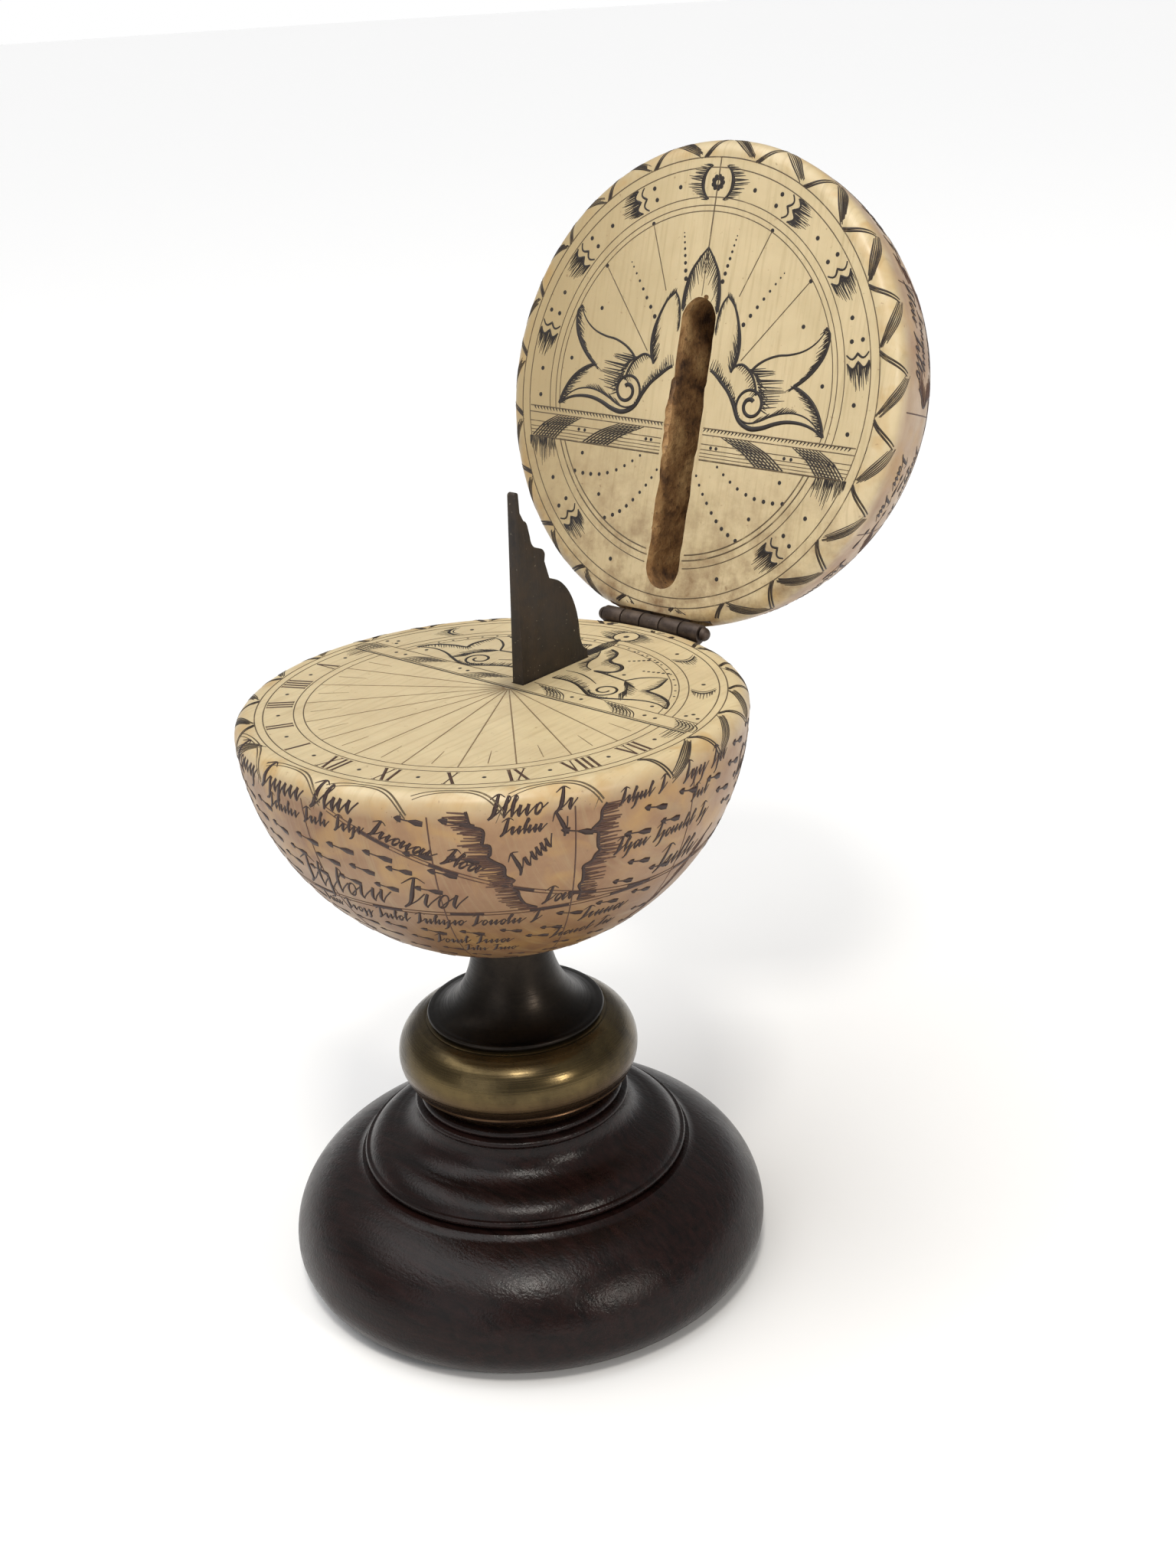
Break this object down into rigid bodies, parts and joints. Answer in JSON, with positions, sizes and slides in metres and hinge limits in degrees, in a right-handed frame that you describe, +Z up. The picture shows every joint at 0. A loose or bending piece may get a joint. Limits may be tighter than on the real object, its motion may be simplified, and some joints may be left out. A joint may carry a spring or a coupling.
{
  "type": "globe sundial",
  "caption": "Bone globe sundial on a turned brass and wood stand: a hinged lid with a clearance pocket opens over a horizontal dial with a shaped plate gnomon.",
  "frame": {"origin": "centre of the foot's flat underside, where the sundial stands", "axes": "+Z up along the stand, +Y towards the hinge and lid, noon on the dial towards -Y, +X along the hinge axis"},
  "size_m": [0.051, 0.0828, 0.1123],
  "materials": {
    "engraved_bone": null,
    "aged_brass": "turned brass with olive-brown patina",
    "dark_brass": "brass with dull dark patina",
    "dark_wood": "turned, blackened and waxed hardwood",
    "browned_iron": "browned, worn"
  },
  "bodies": {
    "stand": {"plinth": "dark_wood", "stand_moulding": "dark_wood", "brass_knop": "aged_brass", "brass_cone": "dark_brass", "stand_screw": "browned_iron"},
    "dial": {"dial_hemisphere": "engraved_bone", "socket_ferrule": "aged_brass", "gnomon": "browned_iron", "lower_hinge_leaf": "browned_iron", "hinge_pin": "browned_iron", "lower_leaf_pin_1": "browned_iron", "lower_leaf_pin_2": "browned_iron"},
    "lid": {"lid_hemisphere": "engraved_bone", "upper_hinge_leaf": "browned_iron", "upper_leaf_pin_1": "browned_iron", "upper_leaf_pin_2": "browned_iron"}
  },
  "joints": [
    {"name": "globe_turn", "type": "hinge", "parent": "stand", "child": "dial", "pos_m": [0, 0, 0.0642], "axis": [0, 0, 1], "continuous": true},
    {"name": "lid_hinge", "type": "hinge", "parent": "dial", "child": "lid", "pos_m": [0, 0.02525, 0.06435], "axis": [1, 0, 0], "range_deg": [0, 106.8]}
  ]
}
